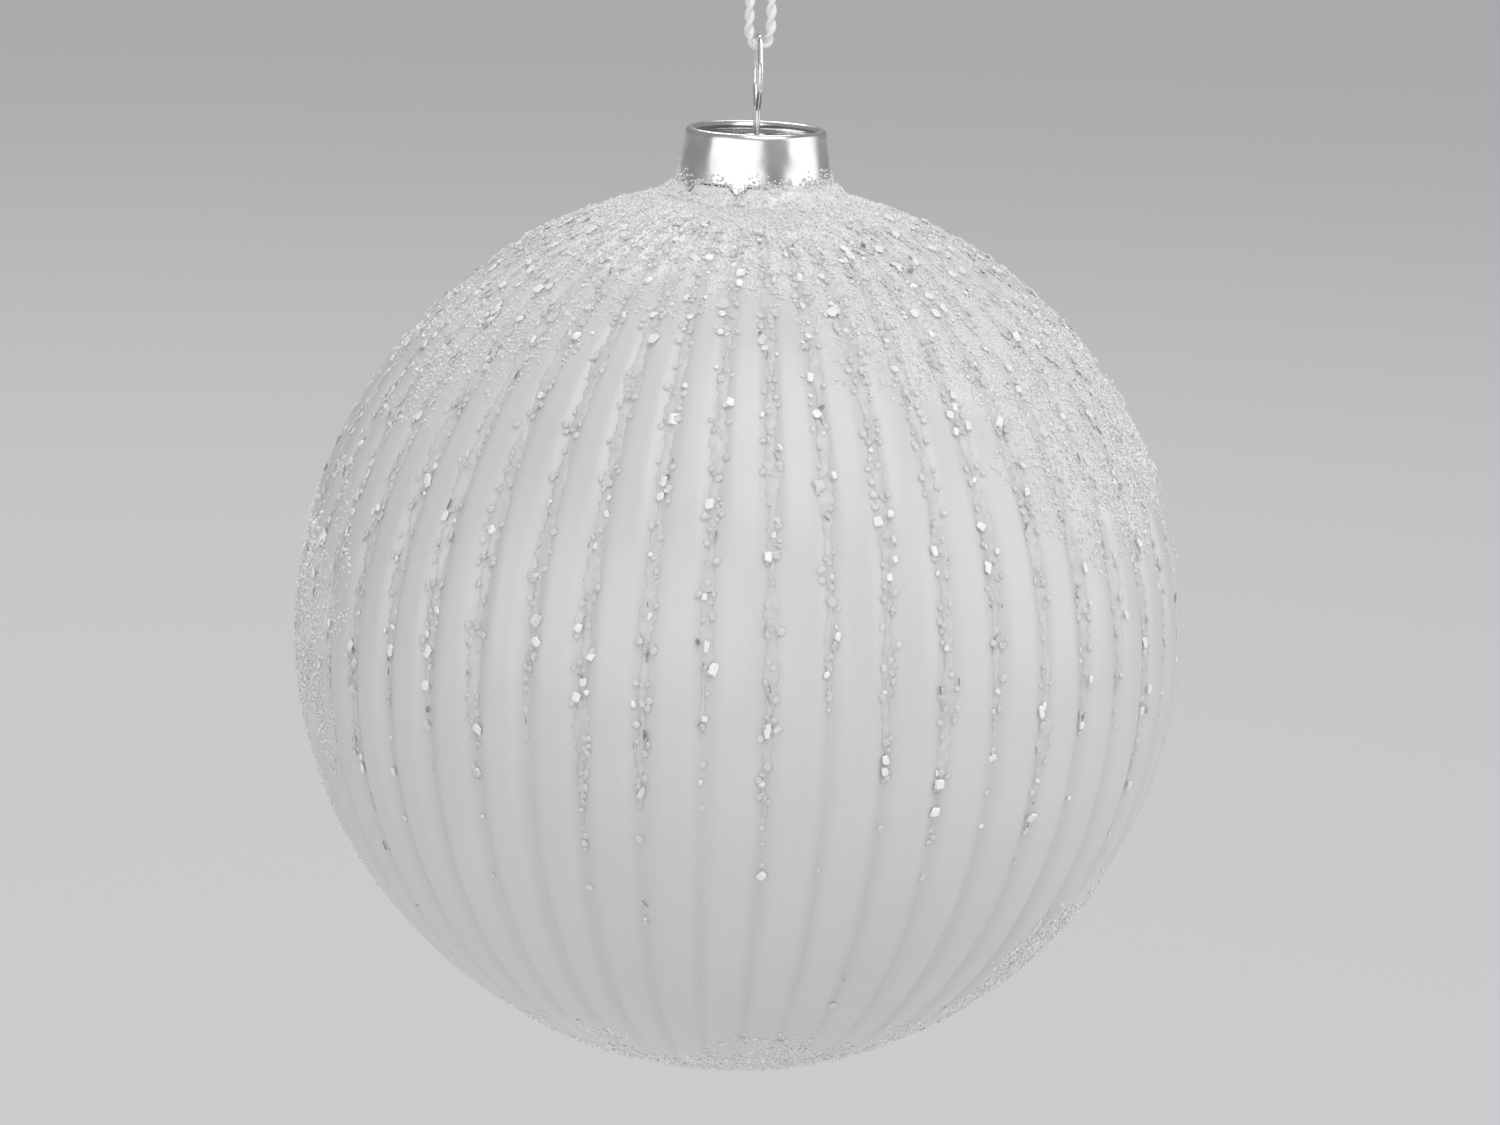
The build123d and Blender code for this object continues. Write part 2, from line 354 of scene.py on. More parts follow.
def drawn_wire():
    n = Nodes("drawn_wire")
    n.set(Metallic=1.0)
    n.drive(Base_Color=n.ramp(n.noise(220.0, 2.0), (0.3, (0.80, 0.80, 0.79)), (0.7, (0.90, 0.90, 0.89))))
    n.drive(Roughness=n.spread(n.noise(400.0), 0.22, 0.32))
    return n.material


def yarn():
    """White yarn with fine fibres and a faint silver sheen."""
    n = Nodes("yarn")
    n.set(Sheen_Weight=0.5, Sheen_Roughness=0.35)
    n.drive(Base_Color=n.ramp(n.noise(1800.0, 4.0), (0.3, (0.92, 0.92, 0.92)), (0.65, (1.0, 1.0, 1.0))))
    n.drive(Roughness=n.spread(n.noise(2500.0), 0.35, 0.7))
    n.drive(Normal=n.bump(n.noise(5200.0, 3.0, distortion=1.5), 0.5, 0.0001))
    return n.material


# ---------------------------------------------------------------- mesh help


def new_piece(name, points, faces, body, materials, kinds=None, smooth=False):
    """A mesh piece that rides on a body, from points in metres and equal-sided faces.

    kinds is each face's place in the list of materials, and smooth is one value or one for each face.
    """
    faces = np.asarray(faces, dtype=np.int32)
    mesh = bpy.data.meshes.new(name)
    mesh.vertices.add(len(points))
    mesh.vertices.foreach_set("co", np.asarray(points, dtype=np.float32).ravel())
    sides = faces.shape[1]
    mesh.loops.add(faces.size)
    mesh.loops.foreach_set("vertex_index", faces.ravel())
    mesh.polygons.add(len(faces))
    mesh.polygons.foreach_set("loop_start", np.arange(0, faces.size, sides, dtype=np.int32))
    mesh.polygons.foreach_set("loop_total", np.full(len(faces), sides, dtype=np.int32))
    for material in materials:
        mesh.materials.append(material)
    if kinds is not None:
        mesh.polygons.foreach_set("material_index", np.asarray(kinds, dtype=np.int32))
    mesh.polygons.foreach_set("use_smooth", np.broadcast_to(smooth, len(faces)))
    mesh.update(calc_edges=True)
    mesh.validate()
    piece = bpy.data.objects.new(name, mesh)
    bpy.context.collection.objects.link(piece)
    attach(piece, body)
    return piece


def grid_faces(rows, columns, first=0):
    """Quads between rings of points, closed round each ring."""
    row, column = np.meshgrid(np.arange(rows - 1), np.arange(columns), indexing="ij")
    here = first + row * columns + column
    beside = first + row * columns + (column + 1) % columns
    return np.stack([here, beside, beside + columns, here + columns], axis=-1).reshape(-1, 4)


def ring_at(angle, radius, height):
    return np.stack([radius * np.cos(angle), radius * np.sin(angle), height], axis=-1)


def fan(pole, first, count, flip):
    """Triangles between one point and the closed ring of points that starts at first."""
    here = first + np.arange(count)
    beside = first + (np.arange(count) + 1) % count
    return np.stack([np.full(count, pole), *((beside, here) if flip else (here, beside))], axis=-1)


def add_attribute(piece, name, values):
    layer = piece.data.attributes.new(name, "FLOAT", "POINT")
    layer.data.foreach_set("value", np.asarray(values, dtype=np.float32))


def random_turns(rng, count):
    """Rotation matrices, evenly random."""
    q = rng.normal(size=(count, 4))
    q /= np.linalg.norm(q, axis=1, keepdims=True)
    w, x, y, z = q.T
    rows = [
        [1 - 2 * (y * y + z * z), 2 * (x * y - z * w), 2 * (x * z + y * w)],
        [2 * (x * y + z * w), 1 - 2 * (x * x + z * z), 2 * (y * z - x * w)],
        [2 * (x * z - y * w), 2 * (y * z + x * w), 1 - 2 * (x * x + y * y)],
    ]
    return np.array(rows).transpose(2, 0, 1)


GRAIN_POINTS = np.array([(1, 0, 0), (-1, 0, 0), (0, 1, 0), (0, -1, 0), (0, 0, 1), (0, 0, -1)]) * 0.5
GRAIN_FACES = np.array(
    [(0, 2, 4), (2, 1, 4), (1, 3, 4), (3, 0, 4), (2, 0, 5), (1, 2, 5), (3, 1, 5), (0, 3, 5)]
)


def triangles(quads):
    quads = np.asarray(quads)
    return np.concatenate([quads[:, (0, 1, 2)], quads[:, (0, 2, 3)]])


def lump(outline, waist):
    """A low solid, narrower at its top and foot than at its waist. Returns points and triangles."""
    sides = len(outline)
    rings = [(0.74, 0.5), (1.0, waist), (0.86, -0.4)]
    points = [(x * share, y * share, z) for share, z in rings for x, y in outline]
    points += [(0, 0, 0.5), (0, 0, -0.45)]
    top, foot = 3 * sides, 3 * sides + 1
    faces = []
    for i in range(sides):
        j = (i + 1) % sides
        faces.append((top, i, j))
        faces.append((foot, 2 * sides + j, 2 * sides + i))
        for row in (0, sides):
            faces += [(row + i, row + sides + i, row + sides + j), (row + i, row + sides + j, row + j)]
    return np.array(points), np.array(faces)


BEAD = lump([(0.5 * math.cos(i * math.pi / 3), 0.5 * math.sin(i * math.pi / 3)) for i in range(6)], 0.05)
FLAKE_CORNER = 0.32
FLAKE = lump(
    [(0.5, -FLAKE_CORNER), (0.5, FLAKE_CORNER), (FLAKE_CORNER, 0.5), (-FLAKE_CORNER, 0.5),
     (-0.5, FLAKE_CORNER), (-0.5, -FLAKE_CORNER), (-FLAKE_CORNER, -0.5), (FLAKE_CORNER, -0.5)],
    0.2,
)


def scatter(rng, base, faces, places, axes, sizes, ragged):
    """Copies of a small solid, each with its own size and uneven corners. Returns points and faces."""
    count = len(places)
    corners = base[None] * sizes[:, None, :]
    corners = corners + rng.normal(scale=ragged, size=(count, len(base), 3)) * sizes[:, None, :]
    points = np.einsum("nij,nkj->nki", axes, corners) + places[:, None, :]
    offsets = np.arange(count)[:, None, None] * len(base)
    return points.reshape(-1, 3), (faces[None] + offsets).reshape(-1, faces.shape[1])


# ---------------------------------------------------------------- the ball's surface

rib_rng = np.random.default_rng(SEED)
CREST = np.arange(RIB_COUNT + 1) * PITCH
CREST[1:-1] += rib_rng.uniform(-0.045, 0.045, RIB_COUNT - 1) * PITCH
GROOVE_DEPTH = rib_rng.uniform(0.8, 1.15, RIB_COUNT)


def rib_place(longitude, latitude):
    """(groove index, 0 at a crest to 1 at a groove's bottom) for each direction."""
    sway = 0.02 * PITCH * np.sin(3 * latitude + 5 * np.sin(longitude * 3))
    turn = np.mod(longitude + sway, 2 * math.pi)
    at = np.interp(turn, CREST, np.arange(RIB_COUNT + 1))
    groove = np.minimum(at.astype(int), RIB_COUNT - 1)
    return groove, 1 - np.abs(2 * (at - groove) - 1)


def groove_depth(latitude):
    """Ribs are deepest at the equator and die out towards both poles, sooner at the bottom."""
    low = smoothstep(math.radians(-80), math.radians(-38), latitude)
    return RIB_DEPTH * np.cos(latitude) ** 1.1 * (0.12 + 0.88 * low)


def glass_radius(longitude, latitude):
    groove, into = rib_place(longitude, latitude)
    dip = 0.5 - 0.5 * np.cos(math.pi * into**RIB_SHARPNESS)
    blown = 0.10 * np.sin(2 * longitude + 0.7) * np.cos(latitude) + 0.08 * np.sin(3 * latitude + longitude)
    cover = frost_cover(longitude, latitude)
    filled = groove_depth(latitude) * GROOVE_DEPTH[groove] * dip * (1 - 0.45 * cover)
    return BALL_RADIUS - 0.18 + blown + 0.08 * cover - filled


def direction(longitude, latitude):
    out = np.cos(latitude)
    return np.stack([out * np.cos(longitude), out * np.sin(longitude), np.sin(latitude)], axis=-1)


# Where the coat of sugar frost lies: (longitude, latitude, inner angle, outer angle, weight), degrees
FROST_PATCHES = [
    (0.0, 90.0, 19.0, 42.0, 1.0),
    (-25.0, 37.0, 9.0, 25.0, 0.95),
    (-50.0, 54.0, 8.0, 24.0, 0.8),
    (-150.0, 50.0, 4.0, 22.0, 0.38),
    (-172.0, 2.0, 5.0, 26.0, 0.7),
    (178.0, -24.0, 5.0, 20.0, 0.7),
    (-20.0, -42.0, 4.0, 18.0, 0.8),
    (60.0, 30.0, 5.0, 18.0, 0.6),
    (120.0, -12.0, 5.0, 18.0, 0.55),
    (0.0, -90.0, 22.0, 40.0, 0.75),
]


def frost_cover(longitude, latitude):
    """0 to 1: how thick the frost lies in each direction, before it breaks up into grains."""
    d = direction(longitude, latitude)
    cover = np.zeros(len(d))
    for lon, lat, inner, outer, weight in FROST_PATCHES:
        to = direction(np.radians(lon), np.radians(lat))
        angle = np.degrees(np.arccos(np.clip(d @ to, -1, 1)))
        cover = np.maximum(cover, weight * (1 - smoothstep(inner, outer, angle)))
    return cover


def patchy(points, scale):
    """Soft noise at each point, about -0.5 to 0.5."""
    return np.array([noise.noise(Vector(p) * scale) for p in points])


def quads_and_fans(name, points, quads, fans, material):
    """The glass: a smooth closed mesh of quads, with triangle fans at its poles."""
    mesh = bpy.data.meshes.new(name)
    mesh.from_pydata(points.tolist(), [], quads.tolist() + np.concatenate(fans).tolist())
    mesh.materials.append(material)
    mesh.polygons.foreach_set("use_smooth", np.ones(len(mesh.polygons), dtype=bool))
    piece = bpy.data.objects.new(name, mesh)
    bpy.context.collection.objects.link(piece)
    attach(piece, "ball")
    return piece


def make_glass(material):
    columns = RIB_COUNT * COLUMNS_PER_RIB
    longitude = np.arange(columns) * 2 * math.pi / columns
    shoulder = math.acos((NECK_RADIUS + 0.7) / BALL_RADIUS)
    rings = []
    for latitude in np.linspace(math.radians(-88.8), shoulder, GLASS_ROWS):
        radius = glass_radius(longitude, np.full(columns, latitude))
        rings.append(direction(longitude, np.full(columns, latitude)) * radius[:, None])
    bore = NECK_RADIUS - NECK_WALL
    inner_top = math.acos(bore / GLASS_INNER_RADIUS)
    root = rings[-1][0][2]
    profile = [(NECK_RADIUS + 0.3, root + 0.2), (NECK_RADIUS + 0.05, root + 0.6), (NECK_RADIUS, root + 1.2)]
    profile += [(NECK_RADIUS, NECK_TOP - 0.4), (NECK_RADIUS - 0.12, NECK_TOP - 0.1)]
    profile += [(NECK_RADIUS - 0.5, NECK_TOP), (bore + 0.12, NECK_TOP - 0.1), (bore, NECK_TOP - 0.4)]
    inner = np.linspace(inner_top, math.radians(-88.0), 18)
    profile += [(GLASS_INNER_RADIUS * math.cos(a), GLASS_INNER_RADIUS * math.sin(a)) for a in inner]
    for r, z in profile:
        rings.append(ring_at(longitude, r, np.full(columns, z)))
    points = np.concatenate(rings)
    faces = grid_faces(len(rings), columns)
    pole = len(points)
    fans = [fan(pole, 0, columns, True), fan(pole + 1, pole - columns, columns, False)]
    bottom = glass_radius(np.zeros(1), np.array([-math.pi / 2]))[0]
    points = np.concatenate([points, [(0, 0, -bottom), (0, 0, -GLASS_INNER_RADIUS)]])
    glass = quads_and_fans("ribbed_glass", to_frame(points), faces, fans, material)
    spot = points / np.linalg.norm(points, axis=1, keepdims=True)
    lon, lat = np.arctan2(spot[:, 1], spot[:, 0]), np.arcsin(np.clip(spot[:, 2], -1, 1))
    into = rib_place(lon, lat)[1]
    fade = groove_depth(lat) / RIB_DEPTH
    outside = np.linalg.norm(points, axis=1) > GLASS_INNER_RADIUS + 0.1
    # painted shade mask: where the glass is darkened in each groove, fading out with the ribs
    add_attribute(glass, "groove", smoothstep(0.35, 1.0, into) * np.clip(fade * 1.3, 0, 1) * outside)
    cover = frost_cover(lon, lat) + 0.5 * patchy(spot, 7.0) * (frost_cover(lon, lat) > 0.02)
    add_attribute(glass, "frost", smoothstep(0.12, 0.75, cover) * outside)
    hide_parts("glass_ball")


# ---------------------------------------------------------------- ice lines

# Kinds of chip: rounded beads of clear ice, small broken flakes, large flakes that are mostly white as
# painted glints, and thin dark slivers as painted shade in the gaps between chips.
# kinds are the shares of clear, white and dark ones. Lengths are millimetres; tilt and spin are radians.
CHIPS = [
    dict(solid=BEAD, smooth=True, per_mm=1.5, fill=0.2, stray=(1, 4), long=(0.55, 1.05), aspect=(0.7, 1.0),
         thick=(0.12, 0.26), lift=(0.16, 0.30), tilt=0.08, spin=1.5, ragged=0.04, kinds=(0.94, 0.06, 0.0)),
    dict(solid=FLAKE, smooth=False, per_mm=0.4, fill=0.3, stray=(1, 3), long=(0.4, 0.9), aspect=(0.5, 0.9),
         thick=(0.15, 0.28), lift=(0.18, 0.36), tilt=0.2, spin=0.6, ragged=0.05, kinds=(0.78, 0.20, 0.02)),
    # large flakes, most of them white: painted glints
    dict(solid=FLAKE, smooth=False, per_mm=0.17, fill=0.9, stray=(0, 2), long=(0.75, 1.3), aspect=(0.5, 0.9),
         thick=(0.2, 0.35), lift=(0.3, 0.45), tilt=0.14, spin=0.3, ragged=0.05, kinds=(0.2, 0.8, 0.0)),
    # thin dark slivers: painted shade in the gaps and cracks between chips
    dict(solid=FLAKE, smooth=False, per_mm=0.16, fill=0.2, stray=(0, 2), long=(0.4, 1.3), aspect=(0.07, 0.14),
         thick=(0.1, 0.2), lift=(0.2, 0.32), tilt=0.1, spin=0.5, ragged=0.04, kinds=(0.0, 0.0, 1.0)),
]


def turned(rng, count, spin, tilt):
    """A random turn about the surface's normal, after a small random tilt."""
    spin = rng.normal(0.0, spin, count)
    c, s, o, z = np.cos(spin), np.sin(spin), np.ones(count), np.zeros(count)
    flat = np.array([[c, -s, z], [s, c, z], [z, z, o]]).transpose(2, 0, 1)
    a = rng.normal(0.0, tilt, count)
    c, s = np.cos(a), np.sin(a)
    about_x = np.array([[o, z, z], [z, c, -s], [z, s, c]]).transpose(2, 0, 1)
    a = rng.normal(0.0, tilt, count)
    c, s = np.cos(a), np.sin(a)
    about_y = np.array([[c, z, s], [z, o, z], [-s, z, c]]).transpose(2, 0, 1)
    return flat @ about_x @ about_y


def surface_axes(longitude, latitude):
    """East, north and up at each direction, as columns."""
    up = direction(longitude, latitude)
    east = np.stack([-np.sin(longitude), np.cos(longitude), np.zeros_like(longitude)], axis=-1)
    north = np.cross(up, east)
    return np.stack([east, north, up], axis=-1)


def resin_strip(rng, index, middle, end, top):
    """A thin uneven ribbon of resin along a groove. Returns points, quads and its wander to the side."""
    steps = int((top - end) * BALL_RADIUS / 0.45)
    latitude = np.linspace(end, top, steps)
    taper = smoothstep(0.0, 0.22, (latitude - end))
    half = (0.25 + 0.75 * taper) * np.minimum(1.0, 0.33 * PITCH * BALL_RADIUS * np.cos(latitude))
    swell = np.sin(latitude * 29 + index * 1.7) * np.sin(latitude * 13 + index * 0.9)
    half = half * (0.72 + 0.45 * swell)
    wander = 0.18 * np.cumsum(rng.normal(size=steps)) / np.sqrt(np.arange(steps) + 4.0)
    left = half * rng.uniform(0.65, 1.25, steps)
    right = half * rng.uniform(0.65, 1.25, steps)
    rows = []
    for across, height in ((-1.0, -0.1), (-0.6, 0.16), (0.0, 0.3), (0.6, 0.16), (1.0, -0.1)):
        offset = wander + np.where(across < 0, left, right) * across
        longitude = middle + offset / (BALL_RADIUS * np.cos(latitude))
        bumps = height + (0.05 * rng.normal(size=steps) if height > 0 else 0.0)
        radius = glass_radius(longitude, latitude) + bumps
        rows.append(direction(longitude, latitude) * radius[:, None])
    rows.append(rows[2] * (1 - 0.6 / BALL_RADIUS))
    points = np.stack(rows, axis=1).reshape(-1, 3)
    return points, grid_faces(steps, len(rows)), wander


def ice_line(index, node, materials):
    rng = np.random.default_rng(SEED + 100 + index)
    end = math.asin((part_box(node)[0][2] - CENTRE[2]) / MM / BALL_RADIUS)
    top = math.radians(rng.uniform(66.0, 73.0))
    middle = (CREST[index] + CREST[index + 1]) / 2
    strip_points, strip_faces, wander = resin_strip(rng, index, middle, end, top)
    points, faces = [strip_points], [triangles(strip_faces)]
    kinds = [np.zeros(2 * len(strip_faces), dtype=int)]
    smooth = [np.ones(2 * len(strip_faces), dtype=bool)]
    heights = np.linspace(end, top, len(wander))
    for shape in CHIPS:
        count = int((top - end) * BALL_RADIUS * shape["per_mm"])
        along = rng.uniform(0, 1, count) ** 0.95
        latitude = end + (top - end) * along
        lumps = np.sin(latitude * 37 + index * 2.1) + 0.7 * np.sin(latitude * 81 + index * 1.3)
        latitude = latitude[rng.uniform(-1.4, 1.6, count) < lumps + shape["fill"] + 0.5 * along]
        latitude = np.concatenate([latitude, end - rng.exponential(0.12, rng.integers(*shape["stray"]))])
        count = len(latitude)
        half = 0.9 * smoothstep(-0.05, 0.2, latitude - end) + 0.15
        half = np.minimum(half, 0.30 * PITCH * BALL_RADIUS * np.cos(latitude))
        offset = np.interp(latitude, heights, wander) + rng.uniform(-1, 1, count) * half
        longitude = middle + offset / (BALL_RADIUS * np.cos(latitude))
        length = rng.uniform(*shape["long"], count)
        across = length * rng.uniform(*shape["aspect"], count)
        sizes = np.stack([across, length, rng.uniform(*shape["thick"], count)], axis=-1)
        lift = rng.uniform(*shape["lift"], count)
        places = direction(longitude, latitude) * (glass_radius(longitude, latitude) + lift)[:, None]
        axes = surface_axes(longitude, latitude) @ turned(rng, count, shape["spin"], shape["tilt"])
        base, sides = shape["solid"]
        chip_points, chip_faces = scatter(rng, base, sides, places, axes, sizes, shape["ragged"])
        faces.append(chip_faces + sum(len(p) for p in points))
        points.append(chip_points)
        kinds.append(np.repeat(rng.choice([1, 2, 3], size=count, p=shape["kinds"]), len(sides)))
        smooth.append(np.full(count * len(sides), shape["smooth"]))
    points, faces, kinds, smooth = (np.concatenate(rows) for rows in (points, faces, kinds, smooth))
    name = f"ice_{index + 1:02d}"
    piece = new_piece(name, to_frame(points), faces, "ball", materials, kinds, smooth)
    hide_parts(node)


# ---------------------------------------------------------------- sugar frost


def frost_piece(name, region, tries, materials, node, seed):
    """Fine grains where the frost lies. region is the (low, high) latitude and longitude in degrees."""
    rng = np.random.default_rng(SEED + seed)
    (lat_low, lat_high), (lon_low, lon_high) = region
    z = rng.uniform(math.sin(math.radians(lat_low)), math.sin(math.radians(lat_high)), tries)
    latitude = np.arcsin(z)
    longitude = np.radians(rng.uniform(lon_low, lon_high, tries))
    cover = frost_cover(longitude, latitude)
    spot = direction(longitude, latitude)
    broken = cover + 0.5 * patchy(spot, 3.5) + 0.45 * patchy(spot, 9.0) + 0.35 * patchy(spot, 23.0)
    broken = np.where(cover > 0.97, 1.0, broken)
    keep = (rng.uniform(0.08, 1.0, tries) < broken) & (cover > 0.01)
    out = np.cos(latitude) * BALL_RADIUS
    keep &= out > CAP_FLARE_RADIUS + 0.05
    heap = bank_height(longitude, out) * (latitude > 0)
    longitude, latitude, spot, heap = longitude[keep], latitude[keep], spot[keep], heap[keep]
    count = len(latitude)
    coarse = rng.uniform(0, 1, count) < 0.12
    size = np.where(coarse, rng.uniform(0.4, 0.7, count), rng.uniform(0.2, 0.4, count))
    sizes = size[:, None] * rng.uniform(0.7, 1.2, (count, 3))
    lift = rng.uniform(-0.04, 0.16, count) + heap
    places = spot * (glass_radius(longitude, latitude) + lift)[:, None]
    points, faces = scatter(rng, GRAIN_POINTS, GRAIN_FACES, places, random_turns(rng, count), sizes, 0.1)
    kinds = np.repeat(rng.choice([0, 1], size=count, p=[0.8, 0.2]), len(GRAIN_FACES))
    if lat_high == 90:  # the crown's piece has the bank against the cap as well
        ring_points, ring_faces = frost_bank()
        faces = np.concatenate([faces, ring_faces + len(points)])
        points = np.concatenate([points, ring_points])
        kinds = np.concatenate([kinds, np.zeros(len(ring_faces), dtype=int)])
    piece = new_piece(name, to_frame(points), faces, "ball", materials, kinds)
    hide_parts(node)


def near(middle, angle, width, power=2):
    """1 at the middle angle, dying out to either side."""
    away = np.mod(angle - middle + math.pi, 2 * math.pi) - math.pi
    return np.exp(-((away / width) ** power))


def bank_height(angle, out):
    """How far the frost heaped against the cap stands above the glass.

    It buries the cap's point at the front right, and lies low beside the point at the left.
    """
    edge = cap_edge(angle) + (CAP_EDGE - cap_edge(angle)) * near(BURIED_POINT, angle, 0.5, 4)
    room = edge - 0.1 - math.sqrt(BALL_RADIUS**2 - CAP_FLARE_RADIUS**2)
    more = 0.75 + 0.5 * near(BURIED_POINT, angle, 0.7)
    more = more * (1 - 0.6 * near(LEFT_POINT, angle, 0.3))
    return room * more * (1 - smoothstep(CAP_FLARE_RADIUS + 0.2, BANK_RADIUS, out)) ** 1.7


def frost_bank():
    """The smooth ring of frost under the grains beside the cap. Returns points and triangles."""
    angle = np.arange(CAP_COLUMNS) * 2 * math.pi / CAP_COLUMNS - math.pi
    under = cap_edge(angle) - 0.15
    radii = np.linspace(CAP_FLARE_RADIUS + 0.25, BANK_RADIUS, BANK_ROWS)
    glass = np.sqrt(BALL_RADIUS**2 - radii**2)
    foot = ((BANK_FOOT_RADIUS, -0.9), (7.3, -0.3), (7.8, -0.1), (8.5, 0.0))
    rings = [ring_at(angle, r, under + drop) for r, drop in foot]
    for r, z in zip(radii, glass):
        uneven = 0.12 * np.sin(angle * 7 + r) + 0.08 * np.sin(angle * 19 + 3 * r)
        rings.append(ring_at(angle, r, z - 0.25 + bank_height(angle, r) * (1 + uneven)))
    rings.append(ring_at(angle, BANK_RADIUS, glass[-1] - np.full(CAP_COLUMNS, 1.0)))
    rings.append(ring_at(angle, BANK_FOOT_RADIUS, np.full(CAP_COLUMNS, CAP_POINT - 1.2)))
    points = np.concatenate(rings)
    quads = grid_faces(len(rings) + 1, CAP_COLUMNS) % len(points)
    return points, triangles(quads[:, ::-1])


def cap_frost(materials):
    """Grains that cling to the cap's lower edge, most of them at the front right."""
    rng = np.random.default_rng(SEED + 77)
    tries = 2200
    angle = rng.uniform(-math.pi, math.pi, tries)
    height = rng.exponential(0.35, tries) - 0.1
    favour = 0.22 + 0.65 * np.exp(-(((angle + math.radians(60)) / 0.7) ** 2))
    edge = cap_edge(angle)
    keep = (rng.uniform(0, 1, tries) < favour) & (height < 2.6)
    angle, height = angle[keep], (edge + height)[keep]
    count = len(angle)
    radius = cap_radius(height) + rng.uniform(0.02, 0.14, count)
    places = ring_at(angle, radius, height)
    sizes = rng.uniform(0.18, 0.42, (count, 3))
    points, faces = scatter(rng, GRAIN_POINTS, GRAIN_FACES, places, random_turns(rng, count), sizes, 0.1)
    kinds = np.repeat(rng.choice([0, 1], size=count, p=[0.8, 0.2]), len(GRAIN_FACES))
    new_piece("cap_frost", to_frame(points), faces, "cap", materials, kinds)


# ---------------------------------------------------------------- cap, wire and cord


def cap_radius(height):
    """The skirt's outer radius at a height."""
    start = CAP_TOP - CAP_SHOULDER
    drop = np.clip((start - height) / (start - CAP_POINT), 0, 1)
    return CAP_RIM_RADIUS + (CAP_FLARE_RADIUS - CAP_RIM_RADIUS) * drop**1.1


def cap_edge(angle):
    """The height of the skirt's lower edge, which is straight between its points."""
    turn = np.mod(angle - CAP_FIRST_POINT, 2 * math.pi / CAP_POINTS)
    turn = np.minimum(turn, 2 * math.pi / CAP_POINTS - turn)
    half_width = CAP_POINT_HALF_WIDTH / CAP_FLARE_RADIUS
    return CAP_POINT + (CAP_EDGE - CAP_POINT) * np.clip(turn / half_width, 0, 1)


def make_cap(bright, well_shade_metal):
    """The pressed cap: bright outside, with painted shade in the well at its top as a darker plating."""
    angle = CAP_FIRST_POINT + np.arange(CAP_COLUMNS) * 2 * math.pi / CAP_COLUMNS
    top = [(0.9, -0.42), (1.6, -0.5), (2.0, -0.72), (2.5, -0.84), (6.1, -0.84), (6.5, -0.76)]
    rim = CAP_RIM_RADIUS
    top += [(rim - 1.05, -0.45), (rim - 0.85, -0.16), (rim - 0.62, -0.02), (rim - 0.36, -0.03)]
    top += [(rim - 0.16, -0.18), (rim - 0.04, -0.38)]
    rings = [ring_at(angle, r, np.full(CAP_COLUMNS, CAP_TOP + z)) for r, z in top]
    shares = np.linspace(0, 1, CAP_SKIRT_ROWS + 1)[1:]
    start, edge = CAP_TOP - 0.5, cap_edge(angle)
    for share in shares:
        height = start + (edge - start) * share
        rings.append(ring_at(angle, cap_radius(height), height))
    for share in shares[::-1]:
        height = start + (edge - start) * share
        rings.append(ring_at(angle, cap_radius(height) - CAP_SHEET, height))
    under = [(rim - 0.45, -0.5), (rim - 0.8, -0.55), (rim - 1.1, -0.95), (6.4, -1.15), (2.5, -1.15)]
    under += [(1.6, -0.85)]
    rings += [ring_at(angle, r, np.full(CAP_COLUMNS, CAP_TOP + z)) for r, z in under]
    pole = len(rings) * CAP_COLUMNS
    points = np.concatenate(rings + [[(0.0, 0.0, CAP_TOP - 0.42), (0.0, 0.0, CAP_TOP - 0.82)]])
    fans = [fan(pole, 0, CAP_COLUMNS, False), fan(pole + 1, pole - CAP_COLUMNS, CAP_COLUMNS, True)]
    faces = np.concatenate([triangles(grid_faces(len(rings), CAP_COLUMNS)[:, ::-1])] + fans)
    # painted shade: the well's faces get the darker plating
    well = np.arange(pole - CAP_COLUMNS) < CAP_WELL_ROWS * CAP_COLUMNS
    kinds = np.concatenate([well, well, np.ones(CAP_COLUMNS), np.zeros(CAP_COLUMNS)])
    cap = new_piece("plated_cap", to_frame(points), faces, "cap", [bright, well_shade_metal], kinds, True)
    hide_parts("cap_shell")


def cord_route():
    """The cord's route from one cut end to the other, in millimetres in the frame."""
    side = [(1.5, 0.5, 12.8), (0.62, 0.0, 9.2), (0.62, 0.0, 5.8), (0.62, 0.0, 2.6)]
    side += [(1.6, 0.0, 1.3), (1.85, 0.0, -0.4), (1.62, 0.0, -8.0), (1.38, 0.0, -18.0), (1.22, 0.0, -28.0)]
    side += [(1.2, 0.0, -36.0), (1.2, 0.0, -43.0), (1.2, 0.0, -47.0), (0.6, 0.0, -48.0)]
    return [(-x, -y, z) for x, y, z in side] + side[::-1]


def smooth_line(name, points):
    """The points of a smooth NURBS curve through a route, in metres."""
    data = bpy.data.curves.new(name, "CURVE")
    data.dimensions = "3D"
    spline = data.splines.new("NURBS")
    spline.points.add(len(points) - 1)
    for point, place in zip(spline.points, points):
        point.co = (*(c * MM for c in place), 1.0)
    spline.order_u = 3
    spline.use_endpoint_u = True
    spline.resolution_u = 90
    holder = bpy.data.objects.new(name, data)
    bpy.context.collection.objects.link(holder)
    mesh = bpy.data.meshes.new_from_object(holder)
    line = np.array([v.co[:] for v in mesh.vertices])
    bpy.data.objects.remove(holder)
    bpy.data.meshes.remove(mesh)
    return line


def evenly(line, step):
    """Points at even steps along a line, and how far along it each one is."""
    along = np.concatenate([[0], np.cumsum(np.linalg.norm(np.diff(line, axis=0), axis=1))])
    spots = np.linspace(0, along[-1], int(along[-1] / step) + 1)
    return np.stack([np.interp(spots, along, line[:, k]) for k in range(3)], axis=-1), spots


